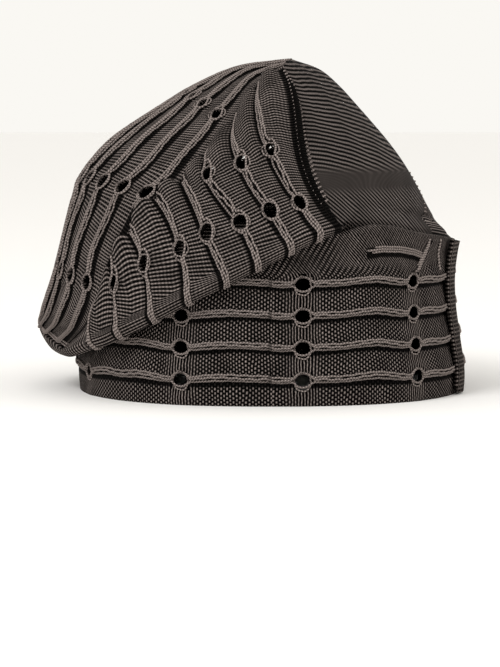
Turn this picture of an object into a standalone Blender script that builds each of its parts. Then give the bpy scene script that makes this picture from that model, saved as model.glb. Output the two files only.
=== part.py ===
"""Fila cap of openwork strip-woven cloth, its crown flopped forward and to one side.

Metres, +Z up. The cap stands on the rim of its band. The front is -Y and the crown falls to -X,
the wearer's right. Tables are in millimetres.
"""

import bmesh
import bpy
import numpy as np
from mathutils import Vector

MM = 0.001

# Head ring: the band's outer face in plan, a slightly boxy oval.
HALF_WIDTH = 82.6
HALF_DEPTH = 105.0
RING_POWER = 2.35
CENTRE_X = -9.0

# Cloth and clearances.
BAND_CLOTH = 2.2
CROWN_CLOTH = 1.8
SEAM_CLOTH = 1.4
SEAM_GAP = 1.3
TUCK_DEPTH = 12.0
TUCK_INSET = 4.6
LAP_OUT = 1.7
BULGE_LEAN = 0.57

# Raised cords: each one is the proud edge of its strip, beside a recess.
CORD_PROUD = 1.0
CORD_RECESS = -0.8
CORD_PITCH = 14.0
CORD_STEP = 0.12
HOLE_RADIUS = 3.0
HOLE_SIDES = 6
HOLE_REACH = 4.0

# Band rows: name, height, how far it stands out.
BAND_ROWS = (
    ("rim", 0.0, 0.2),
    ("hem", 1.5, 0.2),
    ("under cord 4", 9.3, -0.4),
    ("cord 4", 10.6, 1.2),
    ("under cord 3", 22.4, -0.4),
    ("cord 3", 23.7, 1.2),
    ("under cord 2", 35.4, -0.4),
    ("cord 2", 36.7, 1.2),
    ("under cord 1", 48.3, -0.4),
    ("cord 1", 49.6, 1.2),
)
# Rolled top edge of the band: name, depth below the edge, how far it stands out.
BAND_ROLL = (
    ("roll foot", 6.0, 0.2),
    ("roll", 1.8, -0.4),
    ("edge", 0.0, -1.9),
)
BAND_HOLE_ROWS = (10.0, 23.1, 36.1, 49.0)
BAND_SEGMENTS = 40

# Height of the band's edge: place round the ring from the front centre, height.
BAND_TOP = (
    (-40.0, 70.0),
    (10.0, 70.0),
    (27.0, 70.6),
    (44.0, 73.4),
    (72.0, 69.6),
    (95.0, 67.4),
    (122.0, 65.4),
    (152.0, 64.0),
    (200.0, 66.5),
    (260.0, 70.0),
)
# Waist of the band at its two sides: height, how far it draws in.
BAND_WAIST = (
    (0.0, 0.2),
    (7.0, -0.3),
    (24.0, 1.8),
    (38.0, 3.8),
    (50.0, 4.2),
    (61.0, 2.8),
    (67.0, 1.5),
    (75.0, 1.0),
)
# Hole columns of the band at the front, from the front centre; the rest are spaced evenly.
FRONT_COLUMNS = (-38.0, 12.5, 67.0)
OTHER_COLUMNS = 7

# Crown top, from its lower left end to the ridge: station, crease x, y, z, middle x, z, squareness.
TOP_STATIONS = (
    (0.0, -86.5, -40.0, 19.0, -100.7, 25.7, 2.4),
    (1.0, -77.0, -68.0, 30.0, -98.6, 34.0, 3.0),
    (2.0, -70.0, -81.0, 43.0, -93.2, 49.5, 3.6),
    (3.0, -65.1, -88.0, 57.5, -88.6, 67.0, 4.0),
    (4.0, -54.7, -93.0, 75.8, -84.4, 83.0, 4.0),
    (5.0, -46.1, -93.0, 85.2, -80.6, 92.8, 4.0),
    (6.0, -36.2, -91.0, 91.4, -69.0, 106.5, 3.9),
    (7.0, -26.0, -84.0, 101.8, -50.4, 119.2, 3.6),
    (8.0, -14.2, -72.0, 116.5, -32.5, 130.1, 3.0),
    (9.0, -5.1, -58.0, 130.2, -13.5, 138.0, 2.5),
    (10.0, 4.9, -44.0, 138.2, 10.0, 141.2, 2.1),
)
APEX = 10.0
# Distance from the front crease to the crown top's first cord: station, distance.
TOP_FIRST_CORD = ((0.0, -8.0), (2.0, -4.0), (5.0, 5.4), (8.0, 11.0), (10.0, 13.0))
TOP_HOLE_STATIONS = (2.25, 5.0, 7.8)
TOP_RECESS = -1.2
TOP_LEAST_STRIP = 4.0
# How far the crown top's edge is drawn back from its outline: station, distance.
TOP_INSET = ((0.0, 2.8), (1.0, 1.5), (2.0, 0.65), (10.0, 0.65))
TOP_FIRST_ROW = 0.12
TOP_LAST_ROW = 9.94
TOP_ROWS = 8

# Crown wall where it laps over the band and folds back up, from the right seam to the left end:
# cord, place on the ring, fold's distance out, fold's height, fold's radius, place on the crown
# top's edge (below 0 along its end, above APEX along the ridge), gap there, bulge, and how far
# the cord sways sideways low down and high up.
LAPPED_WALL = (
    (0.0, 27.0, 3.4, 70.4, 3.0, 9.98, 0.7, 5.0, -7.0, 0.2),
    (1.0, 18.0, 5.0, 67.4, 3.8, 9.0, 0.7, 6.0, -4.7, -5.6),
    (2.0, 7.4, 5.9, 62.2, 4.1, 8.0, 0.7, 6.0, -2.6, -6.2),
    (3.0, -5.7, 5.9, 55.4, 4.1, 7.1, 0.7, 6.0, 1.8, -7.0),
    (4.0, -17.4, 5.9, 49.0, 4.1, 6.05, 0.7, 6.0, 0.0, 0.0),
    (5.0, -31.4, 5.9, 41.8, 4.1, 4.95, 0.7, 4.5, 2.5, 2.5),
    (6.0, -46.0, 5.9, 34.0, 4.1, 3.75, 0.7, 3.5, 2.3, 2.3),
    (7.0, -62.5, 5.9, 26.6, 4.1, 3.0, 0.8, 2.5, 1.6, 1.6),
    (8.0, -79.0, 6.2, 21.4, 3.8, 2.1, 1.3, 1.5, 0.0, 0.0),
    (9.0, -119.0, 6.6, 14.9, 2.8, 0.0, 2.0, 0.5, 0.0, 0.0),
    (9.5, -136.0, 11.2, 16.4, 2.8, -0.5, 1.4, 0.4, 0.0, 0.0),
    (10.0, -153.0, 13.8, 19.6, 2.8, -1.0, 1.0, 0.3, 0.0, 0.0),
)
LAST_CORD = 8
# Holes on the lapped wall: cord, share of the face from fold to crease.
WALL_HOLES = (
    (1.0, 0.17),
    (1.0, 0.50),
    (2.0, 0.22),
    (2.0, 0.58),
    (3.0, 0.29),
    (3.0, 0.74),
    (4.0, 0.38),
    (5.0, 0.41),
    (6.0, 0.53),
    (7.0, 0.65),
)
# Crown wall at the right, which rises out of the band: number, place on the ring, how far it laps
# over the edge, place on the crown top's edge, bulge, its skew towards the ridge and squareness,
# and how far it sways sideways low down and high up.
RISING_WALL = (
    (0.0, 28.4, 0.95, 10.09, 5.0, 1.0, 2.0, -7.0, 0.2),
    (0.3, 39.0, 0.2, 10.13, 5.6, 1.1, 2.6, -4.0, 0.1),
    (1.0, 62.0, 0.0, 10.3, 6.4, 1.3, 4.0, -1.0, 0.0),
    (2.0, 100.0, 0.0, 10.55, 7.4, 1.5, 4.0, 0.0, 0.0),
    (3.0, 135.0, 0.0, 10.8, 7.6, 1.6, 4.0, 0.0, 0.0),
    (4.0, 170.0, 0.0, 11.1, 7.6, 1.6, 4.0, 0.0, 0.0),
    (5.0, 215.0, 0.1, 11.5, 7.4, 1.4, 3.6, 0.0, 0.0),
    (6.0, 250.0, 0.6, 11.8, 6.2, 1.1, 2.8, -3.0, 0.0),
    (7.0, 278.0, 1.0, 12.02, 5.0, 1.0, 2.0, -7.0, 0.2),
)
# Back seam of the plain side panel: share of the height, number in the table above.
SIDE_SEAM_LINE = ((0.0, 1.75), (0.14, 2.55), (0.3, 3.15), (0.57, 3.6), (0.79, 3.75), (1.0, 3.8))

# Where the crown wall leaves the band: rows of the turn, out from the ring and up from the edge.
RISING_TURN = ((-4.9, 2.0), (-5.4, 2.8), (-6.0, 3.5), (-6.7, 4.2), (-7.5, 4.9), (-8.3, 5.6))
LEVEL_TURN = ((-1.4, 2.8), (0.2, 3.0), (1.2, 3.0), (2.2, 3.1), (3.2, 3.5), (4.6, 5.0))
FACE_ROWS = (0.14, 0.35, 0.57, 0.79, 1.0)

# Seam strip up the right of the band.
STRIP_FROM = 100.0
STRIP_WIDTH = 15.0
STRIP_FOOT = 0.6
STRIP_HEAD = 1.6
STRIP_OUT = 1.7
STRIP_ROUND = 4.0


def follow(table, key):
    """The values of a table at a key between its rows, on a smooth curve through the rows."""
    rows = np.array(table, dtype=float)
    keys = rows[:, 0]
    key = min(max(key, keys[0]), keys[-1])
    slopes = np.gradient(rows[:, 1:], keys, axis=0)
    i = min(int(np.searchsorted(keys, key, side="right")) - 1, len(keys) - 2)
    span = keys[i + 1] - keys[i]
    t = (key - keys[i]) / span
    start, end = rows[i, 1:], rows[i + 1, 1:]
    ease_in = t * (1 - t) ** 2 * span * slopes[i]
    ease_out = t * t * (t - 1) * span * slopes[i + 1]
    return start * (1 + 2 * t) * (1 - t) ** 2 + end * t * t * (3 - 2 * t) + ease_in + ease_out


def ring_outline():
    """The head ring from its front centre, to the right first: length run, x, y and the normal."""
    turn = np.linspace(-np.pi / 2, 1.5 * np.pi, 2881)
    cos, sin = np.cos(turn), np.sin(turn)
    x = HALF_WIDTH * np.sign(cos) * np.abs(cos) ** (2 / RING_POWER)
    y = HALF_DEPTH * np.sign(sin) * np.abs(sin) ** (2 / RING_POWER)
    run = np.concatenate([[0], np.cumsum(np.hypot(np.diff(x), np.diff(y)))])
    nx = np.sign(x) * np.abs(x / HALF_WIDTH) ** (RING_POWER - 1) / HALF_WIDTH
    ny = np.sign(y) * np.abs(y / HALF_DEPTH) ** (RING_POWER - 1) / HALF_DEPTH
    size = np.hypot(nx, ny)
    return run, x, y, nx / size, ny / size


RING = ring_outline()
RING_LENGTH = RING[0][-1]


def on_ring(place):
    """Plan point and outward normal at a distance round the ring."""
    return [np.interp(place, RING[0], column, period=RING_LENGTH) for column in RING[1:]]


def band_top(place):
    """Height of the band's edge."""
    place = (place + RING_LENGTH / 3) % RING_LENGTH - RING_LENGTH / 3
    return follow(BAND_TOP, place)[0]


def band_point(place, out, height):
    """A point at a height beside the band, out from its face, which is waisted at the sides."""
    x, y, nx, ny = on_ring(place)
    out = out - follow(BAND_WAIST, height)[0] * nx * nx
    return np.array([x + nx * out, y + ny * out, height])


def top_arch(station):
    """The crown top across one station: points from the front crease to the back, lengths run."""
    cx, cy, cz, mx, mz, square = follow(TOP_STATIONS, station)
    side = np.linspace(1, -1, 161)
    rise = 1 - np.abs(side) ** square
    points = np.stack([cx + (mx - cx) * rise, cy * side, cz + (mz - cz) * rise], axis=1)
    steps = np.linalg.norm(np.diff(points, axis=0), axis=1)
    return points, np.concatenate([[0], np.cumsum(steps)])


def top_point(station, run):
    """A point of the crown top at a length run from the front crease."""
    points, runs = top_arch(station)
    return np.array([np.interp(run, runs, points[:, axis]) for axis in range(3)])


def top_edge(place):
    """The crown top's outline: its end below 0, the front crease, then the ridge from APEX."""
    if place < 0:
        return top_arch_share(0.0, -place / 2)
    if place > APEX:
        return top_arch_share(APEX, (place - APEX) / 2)
    return top_point(place, 0.0)


def top_arch_share(station, share):
    """A point of the crown top at a share of the way across a station."""
    points, runs = top_arch(station)
    return top_point(station, share * runs[-1])


def top_strip_edge(station, number):
    """Length run from the front crease to a cord, eased so that cords gather at the creases."""
    total = top_arch(station)[1][-1]
    run = follow(TOP_FIRST_CORD, station)[0] + CORD_PITCH * number
    run = (run + np.hypot(run, TOP_LEAST_STRIP)) / 2
    rest = total - run
    return total - (rest + np.hypot(rest, TOP_LEAST_STRIP)) / 2


def mirrored(point):
    """The same point on the other side of the cap's middle plane."""
    return np.array([point[0], -point[1], point[2]])


def sawtooth(number):
    """Relief beside a cord: proud at each whole number, recessed just past it, none at the end."""
    if number > LAST_CORD + CORD_STEP:
        return CORD_RECESS * max(LAST_CORD + 1 - number, 0)
    part = number - np.floor(number)
    if part < 1e-6:
        return CORD_PROUD
    return CORD_RECESS + (CORD_PROUD - CORD_RECESS) * max(part - CORD_STEP, 0) / (1 - CORD_STEP)


def face_point(start, end, share, bulge, skew, square, sways, normal):
    """A point of the crown's face, between where it leaves the band or the fold and its seam."""
    swell = bulge * (1 - abs(2 * share**skew - 1) ** square)
    away = np.array([normal[0], normal[1], BULGE_LEAN]) / np.hypot(1, BULGE_LEAN)
    point = start + (end - start) * share + away * swell
    low, high = sways
    point[0] += 6.75 * share * (1 - share) * (low * (1 - share) + high * share)
    return point


def shy_of(end, start, gap):
    """The end of a line, drawn back by a gap."""
    return end - (end - start) * gap / np.linalg.norm(end - start)


def lapped_wall(number, row):
    """A point of the crown wall where it laps over the band, by row from inside the band up."""
    place, out, fold, radius, edge, gap, bulge, *sways = follow(LAPPED_WALL, number)
    top = band_top(place)
    normal = on_ring(place)[2:]
    if row == 0:
        return band_point(place, -TUCK_INSET, top - TUCK_DEPTH)
    if row == 1:
        return band_point(place, -TUCK_INSET, top + 0.8)
    drop = min((top + 3.5 - fold) / 8.5, 1)
    foot = min(fold, top - 5.0)
    folded = (
        (-1.4, top + 2.8),
        (LAP_OUT, top - 0.5),
        (LAP_OUT + 0.3 + 0.1 * (out - 5.9), (top + foot + radius) / 2),
        (out - radius, foot + radius),
        (out, foot),
        (out + radius, foot + radius),
    )
    turn = min(row, 7) - 2
    level_out, level_up = LEVEL_TURN[turn]
    reach = level_out + (folded[turn][0] - level_out) * drop
    height = top + level_up + (folded[turn][1] - top - level_up) * drop
    if turn < 2:
        point = band_point(place, reach, height)
    else:
        x, y, nx, ny = on_ring(place)
        point = np.array([x + nx * reach, y + ny * reach, height])
    if row < 8:
        return point
    share = FACE_ROWS[row - 8]
    end = shy_of(top_edge(edge), point, gap)
    return face_point(point, end, share, bulge + sawtooth(number), 1.0, 2.0, sways, normal)


def rising_wall(number, row):
    """A point of the crown wall that rises out of the band at the right, by row."""
    place, lap, edge, bulge, skew, square, *sways = follow(RISING_WALL, number)
    lap = min(max(lap, 0), 1)
    top = band_top(place)
    normal = on_ring(place)[2:]
    if row == 0:
        return band_point(place, -TUCK_INSET, top - TUCK_DEPTH)
    if row == 1:
        return band_point(place, -TUCK_INSET, top + 0.8)
    turn = min(row, 7) - 2
    inner, outer = np.array(RISING_TURN[turn]), np.array(LEVEL_TURN[turn])
    reach, up = inner + (outer - inner) * lap
    point = band_point(place, reach, top + up)
    if row < 8:
        return point
    end = top_arch_share(APEX, (edge - APEX) / 2)
    end = shy_of(end, point, SEAM_GAP / 2)
    return face_point(point, end, FACE_ROWS[row - 8], bulge, skew, square, sways, normal)


def collection(name):
    """A new collection in the scene."""
    made = bpy.data.collections.new(name)
    bpy.context.scene.collection.children.link(made)
    return made


def material(name, colour, roughness):
    """A cloth finish."""
    made = bpy.data.materials.new(name)
    made.use_nodes = True
    shader = made.node_tree.nodes["Principled BSDF"]
    shader.inputs["Base Color"].default_value = (*colour, 1)
    shader.inputs["Roughness"].default_value = roughness
    shader.inputs["Metallic"].default_value = 0.0
    return made


def placed(point):
    """A point of the tables in metres, with the cap's middle over the origin."""
    return Vector(((point[0] - CENTRE_X) * MM, point[1] * MM, point[2] * MM))


def sheet(name, across, up, point, cloth, finish, closed=False):
    """A cloth shell: a grid whose vertices a function places, thickened inwards."""
    bm = bmesh.new()
    bmesh.ops.create_grid(bm, x_segments=across, y_segments=up, size=0.5)
    for vert in bm.verts:
        column = round((vert.co.x + 0.5) * across)
        row = round((vert.co.y + 0.5) * up)
        vert.co = placed(point(column, row))
    if closed:
        bmesh.ops.remove_doubles(bm, verts=bm.verts, dist=0.00001)
    mesh = bpy.data.meshes.new(name)
    bm.to_mesh(mesh)
    bm.free()
    mesh.shade_smooth()
    mesh.materials.append(finish)
    piece = bpy.data.objects.new(name, mesh)
    CAP.objects.link(piece)
    shell = piece.modifiers.new("cloth", "SOLIDIFY")
    shell.thickness = cloth * MM
    shell.offset = -1
    return piece


def pierce(piece, places):
    """Cut six-sided holes through a shell at points, each along its normal."""
    bm = bmesh.new()
    for point, normal in places:
        turn = Vector(normal).to_track_quat("Z", "Y").to_matrix().to_4x4()
        turn.translation = placed(point)
        bmesh.ops.create_cone(
            bm,
            cap_ends=True,
            segments=HOLE_SIDES,
            radius1=HOLE_RADIUS * MM,
            radius2=HOLE_RADIUS * MM,
            depth=2 * HOLE_REACH * MM,
            matrix=turn,
        )
    mesh = bpy.data.meshes.new(piece.name + "_holes")
    bm.to_mesh(mesh)
    bm.free()
    cutter = bpy.data.objects.new(piece.name + "_holes", mesh)
    cutter.hide_render = True
    cutter.display_type = "WIRE"
    CUTTERS.objects.link(cutter)
    cut = piece.modifiers.new("holes", "BOOLEAN")
    cut.object = cutter
    cut.operation = "DIFFERENCE"
    cut.solver = "EXACT"


def surface_hole(point, number, step, along, reach):
    """Where a hole goes on a surface: the middle of the cloth there, and the surface's normal."""
    here = point(number, along)
    side = point(number + step, along) - point(number - step, along)
    up = point(number, along + reach) - point(number, along - reach)
    normal = np.cross(side, up)
    normal = normal / np.linalg.norm(normal)
    return here, normal


def make_band():
    """The standing wall round the head, with its cords and hole columns."""

    def point(column, row):
        place = RING_LENGTH * column / BAND_SEGMENTS
        if row < len(BAND_ROWS):
            name, height, out = BAND_ROWS[row]
        else:
            name, depth, out = BAND_ROLL[row - len(BAND_ROWS)]
            height = band_top(place) - depth
        return band_point(place, out, height)

    rows = len(BAND_ROWS) + len(BAND_ROLL)
    cloth = material("band_openwork_cloth", (0.075, 0.062, 0.056), 0.85)
    band = sheet("band", BAND_SEGMENTS, rows - 1, point, BAND_CLOTH, cloth, closed=True)
    gap = (RING_LENGTH + FRONT_COLUMNS[0] - FRONT_COLUMNS[-1]) / (OTHER_COLUMNS + 1)
    columns = list(FRONT_COLUMNS)
    columns += [FRONT_COLUMNS[-1] + gap * (i + 1) for i in range(OTHER_COLUMNS)]
    holes = []
    for place in columns:
        for height in BAND_HOLE_ROWS:
            normal = on_ring(place)[2:]
            holes.append((band_point(place, -BAND_CLOTH / 2, height), (*normal, 0)))
    pierce(band, holes)


def make_side_seam():
    """The seam strip up the band's right side, rounded at its foot."""
    across, up = 4, 6

    def point(column, row):
        share = column / across
        foot = STRIP_FOOT + STRIP_ROUND * (2 * share - 1) ** 4
        place = STRIP_FROM + STRIP_WIDTH * share
        head = band_top(place) - STRIP_HEAD
        return band_point(place, STRIP_OUT + SEAM_CLOTH, foot + (head - foot) * row / up)

    cloth = material("seam_strip_cloth", (0.085, 0.071, 0.064), 0.85)
    sheet("side_seam", across, up, point, SEAM_CLOTH, cloth)


def lapped_columns():
    """Places across the lapped wall: each cord, its recess and the strip between, then the end."""
    places = [0.0]
    for cord in range(LAST_CORD):
        places += [cord + CORD_STEP, cord + 1.0]
    return places + [LAST_CORD + CORD_STEP, LAST_CORD + 0.5, 9.0, 9.35, 9.7, 9.975]


def wall_holes(flip):
    """Holes through the face of the lapped wall, on the front or mirrored on the back."""

    def face(number, share):
        place, out, fold, radius, edge, gap, bulge, *sways = follow(LAPPED_WALL, number)
        start, end = lapped_wall(number, 7), top_edge(edge)
        return face_point(start, end, share, bulge, 1.0, 2.0, sways, on_ring(place)[2:])

    holes = []
    for cord, share in WALL_HOLES:
        point, normal = surface_hole(face, cord, 0.1, share, 0.05)
        normal = normal if normal[1] < 0 else -normal
        point = point - normal * CROWN_CLOTH / 2
        if flip:
            point, normal = mirrored(point), mirrored(normal)
        holes.append((point, normal))
    return holes


def make_crown_flap():
    """The front of the crown: out of the band, over its edge, down to the fold and back up."""
    places = lapped_columns()
    rows = 8 + len(FACE_ROWS)

    def point(column, row):
        return lapped_wall(places[column], row)

    cloth = material("flap_openwork_cloth", (0.080, 0.067, 0.061), 0.85)
    flap = sheet("crown_flap", len(places) - 1, rows - 1, point, CROWN_CLOTH, cloth)
    flap.data.flip_normals()
    pierce(flap, wall_holes(False))


def row_share(row):
    """Share of the crown wall's height at a row, for the slanting seam of the side panel."""
    return FACE_ROWS[row - 8] if row >= 8 else 0.0


def make_crown_back():
    """The back of the crown, folded over the band as the front is, then rising at the right."""
    lapped = lapped_columns()[::-1]
    rising = 8
    rows = 8 + len(FACE_ROWS)

    def point(column, row):
        if column < len(lapped):
            return mirrored(lapped_wall(lapped[column], row))
        seam = follow(SIDE_SEAM_LINE, row_share(row))[0] + 0.035
        share = (column - len(lapped) + 1) / rising
        return rising_wall(7.0 + (seam - 7.0) * share, row)

    cloth = material("back_openwork_cloth", (0.080, 0.067, 0.061), 0.85)
    across = len(lapped) + rising - 1
    back = sheet("crown_back", across, rows - 1, point, CROWN_CLOTH, cloth)
    back.data.flip_normals()
    pierce(back, wall_holes(True))


def make_crown_side():
    """The plain ribbed panel at the right, between the flap's seam and its own back seam."""
    across = 9
    rows = 8 + len(FACE_ROWS)

    def point(column, row):
        seam = follow(SIDE_SEAM_LINE, row_share(row))[0]
        return rising_wall(seam * (column / across) ** 1.4, row)

    cloth = material("plain_rib_cloth", (0.055, 0.046, 0.043), 0.75)
    sheet("crown_side", across, rows - 1, point, CROWN_CLOTH, cloth)


def make_crown_top():
    """The oval end of the crown, arched from the front crease to the back, with cords along it."""
    widest = max(top_arch(row[0])[1][-1] for row in TOP_STATIONS)
    cords = int((widest - TOP_FIRST_CORD[0][1]) / CORD_PITCH) + 1
    numbers = []
    for cord in range(cords):
        numbers += [cord - CORD_STEP, float(cord)]
    across = len(numbers) + 1

    def point(column, row):
        station = TOP_FIRST_ROW + (TOP_LAST_ROW - TOP_FIRST_ROW) * row / TOP_ROWS
        inset = follow(TOP_INSET, station)[0]
        total = top_arch(station)[1][-1]
        if column == 0:
            return top_point(station, inset)
        if column == across:
            return top_point(station, total - inset)
        number = numbers[column - 1]
        run = top_strip_edge(station, number)
        run = inset + run * (total - 2 * inset) / total
        here = top_point(station, run)
        edge = min(run, total - run) / CORD_PITCH
        lift = 0 if number == round(number) else TOP_RECESS * min(edge, 1)
        side = top_point(station, run + 1) - top_point(station, run - 1)
        along = top_point(station + 0.02, run) - top_point(station - 0.02, run)
        normal = np.cross(along, side)
        return here + normal / np.linalg.norm(normal) * lift

    cloth = material("top_openwork_cloth", (0.080, 0.067, 0.061), 0.85)
    top = sheet("crown_top", across, TOP_ROWS, point, CROWN_CLOTH, cloth)
    holes = []
    for station in TOP_HOLE_STATIONS:
        total = top_arch(station)[1][-1]
        for cord in range(cords):
            run = follow(TOP_FIRST_CORD, station)[0] + CORD_PITCH * cord
            if 5.0 < run < total - 5.0:
                here, normal = surface_hole(top_point, station, 0.05, run, 1.0)
                holes.append((here - normal * CROWN_CLOTH / 2, normal))
    pierce(top, holes)


for leftover in list(bpy.data.objects):
    bpy.data.objects.remove(leftover, do_unlink=True)
CAP = collection("fila_cap")
CUTTERS = collection("cutters")
make_band()
make_side_seam()
make_crown_flap()
make_crown_back()
make_crown_side()
make_crown_top()
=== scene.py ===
import bpy
import numpy as np
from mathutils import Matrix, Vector


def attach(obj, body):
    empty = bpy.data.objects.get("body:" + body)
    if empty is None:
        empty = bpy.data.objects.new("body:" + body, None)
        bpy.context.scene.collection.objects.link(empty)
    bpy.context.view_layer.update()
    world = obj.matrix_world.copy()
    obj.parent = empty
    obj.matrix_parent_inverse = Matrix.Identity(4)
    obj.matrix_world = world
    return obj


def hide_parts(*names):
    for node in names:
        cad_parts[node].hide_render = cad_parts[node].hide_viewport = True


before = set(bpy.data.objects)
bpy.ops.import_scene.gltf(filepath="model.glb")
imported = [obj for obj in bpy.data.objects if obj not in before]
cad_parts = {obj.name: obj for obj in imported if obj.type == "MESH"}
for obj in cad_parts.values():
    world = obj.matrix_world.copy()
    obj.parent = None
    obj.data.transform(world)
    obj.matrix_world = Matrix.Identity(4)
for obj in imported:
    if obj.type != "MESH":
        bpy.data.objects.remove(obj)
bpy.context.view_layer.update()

# Band: the standing wall round the head, of doubled openwork strip cloth with a rolled top
# edge. Its strips lap like shingles, each one ending in a cord, and columns of eyelets run up it.
# Sizes are in millimetres; a place is a length run round the head from the front centre.
MM = 0.001
CENTRE_X = -9.0
HALF_WIDTH, HALF_DEPTH, RING_POWER = 82.6, 105.0, 2.35
BAND_CLOTH = 2.2
CORD_HEIGHTS = (10.6, 23.7, 36.7, 49.6)
EYELET_HEIGHTS = (10.0, 23.1, 36.1, 49.0)
EYELET_RADIUS = 3.5
RIM_THREAD, STRAND_THREAD, WALL_STRAND, FINE_STRAND = 0.34, 0.46, 0.44, 0.42
RIM_GAP, STRAND_LIFT = 0.15, 0.35
SHADOW_PLACE = 1.1  # from a cord to the middle of the dark line beside it
FAR = 20.0  # stands in a cord map where no eyelet is near
BESIDE_NONE = 9.0  # stands in a cord map where no cord is near
EVEN_HEIGHT = 53.0  # above it, the band's rows follow its edge
FLAT_REACH = 5.2
FRONT_COLUMNS = (-38.0, 12.5, 67.0)
OTHER_COLUMNS = 7
PUCKER, PUCKER_WIDTH, CORD_SPACING = 0.5, 5.0, 13.1
CORD_BOW, BOW_WIDTH = 1.5, 22.0
CLOTH_GLOSS = 0.03
SHINGLE_FOOT, SHINGLE_PROUD = -0.6, 1.1
BAND_COLUMNS = 480
BAND_TOP = (
    (-40.0, 70.0), (10.0, 70.0), (27.0, 70.6), (44.0, 73.4), (72.0, 69.6), (95.0, 67.4),
    (122.0, 65.4), (152.0, 64.0), (200.0, 66.5), (260.0, 70.0),
)
BAND_WAIST = (
    (0.0, 0.2), (7.0, -0.3), (24.0, 1.8), (38.0, 3.8), (50.0, 4.2), (61.0, 2.8), (67.0, 1.5),
    (75.0, 1.0),
)


def follow(table, key):
    """The values of a table at a key between its rows, on a smooth curve through the rows."""
    rows = np.array(table, dtype=float)
    keys = rows[:, 0]
    key = min(max(key, keys[0]), keys[-1])
    slopes = np.gradient(rows[:, 1:], keys, axis=0)
    i = min(int(np.searchsorted(keys, key, side="right")) - 1, len(keys) - 2)
    span = keys[i + 1] - keys[i]
    t = (key - keys[i]) / span
    ease_in = t * (1 - t) ** 2 * span * slopes[i]
    ease_out = t * t * (t - 1) * span * slopes[i + 1]
    start, end = rows[i, 1:], rows[i + 1, 1:]
    return start * (1 + 2 * t) * (1 - t) ** 2 + end * t * t * (3 - 2 * t) + ease_in + ease_out


def head_ring():
    """The head ring from its front centre, to the right first: length run, x, y and the normal."""
    turn = np.linspace(-np.pi / 2, 1.5 * np.pi, 2881)
    cos, sin = np.cos(turn), np.sin(turn)
    x = HALF_WIDTH * np.sign(cos) * np.abs(cos) ** (2 / RING_POWER)
    y = HALF_DEPTH * np.sign(sin) * np.abs(sin) ** (2 / RING_POWER)
    run = np.concatenate([[0], np.cumsum(np.hypot(np.diff(x), np.diff(y)))])
    nx = np.sign(x) * np.abs(x / HALF_WIDTH) ** (RING_POWER - 1) / HALF_WIDTH
    ny = np.sign(y) * np.abs(y / HALF_DEPTH) ** (RING_POWER - 1) / HALF_DEPTH
    size = np.hypot(nx, ny)
    return run, x, y, nx / size, ny / size


RING = head_ring()
RING_LENGTH = RING[0][-1]


def on_ring(place):
    """Plan point and outward normal at a distance round the ring."""
    return [np.interp(place, RING[0], column, period=RING_LENGTH) for column in RING[1:]]


def band_top(place):
    """Height of the band's edge."""
    place = (place + RING_LENGTH / 3) % RING_LENGTH - RING_LENGTH / 3
    return follow(BAND_TOP, place)[0]


def band_point(place, out, height):
    """A point at a height beside the band, out from its face, which is waisted at the sides."""
    x, y, nx, ny = on_ring(place)
    out = out - follow(BAND_WAIST, height)[0] * nx * nx
    return np.array([x + nx * out, y + ny * out, height])


def grid_normals(points):
    """Outward or inward unit normals of a grid of points, to the right-hand side of its axes."""
    across, up = np.gradient(points, axis=0), np.gradient(points, axis=1)
    normals = np.cross(across, up)
    return normals / np.maximum(np.linalg.norm(normals, axis=2, keepdims=True), 1e-9)


def grid_sample(values, column, row):
    """Values of a grid at fractional columns and rows."""
    column = np.clip(column, 0, values.shape[0] - 1.001)
    row = np.clip(row, 0, values.shape[1] - 1.001)
    i, j = column.astype(int), row.astype(int)
    s, t = (column - i)[..., None], (row - j)[..., None]
    low = values[i, j] * (1 - s) + values[i + 1, j] * s
    high = values[i, j + 1] * (1 - s) + values[i + 1, j + 1] * s
    return low * (1 - t) + high * t


def in_metres(points):
    """Points of the tables in metres, with the cap's middle over the origin."""
    return (points - np.array([CENTRE_X, 0.0, 0.0])) * MM


def cord_map(beside, near=None):
    """Values of a cord map: how far beside the painted shadow line of the nearest cord, and from an
    eyelet.
    """
    return np.stack([beside, np.full(beside.shape, FAR) if near is None else near], axis=2)


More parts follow.
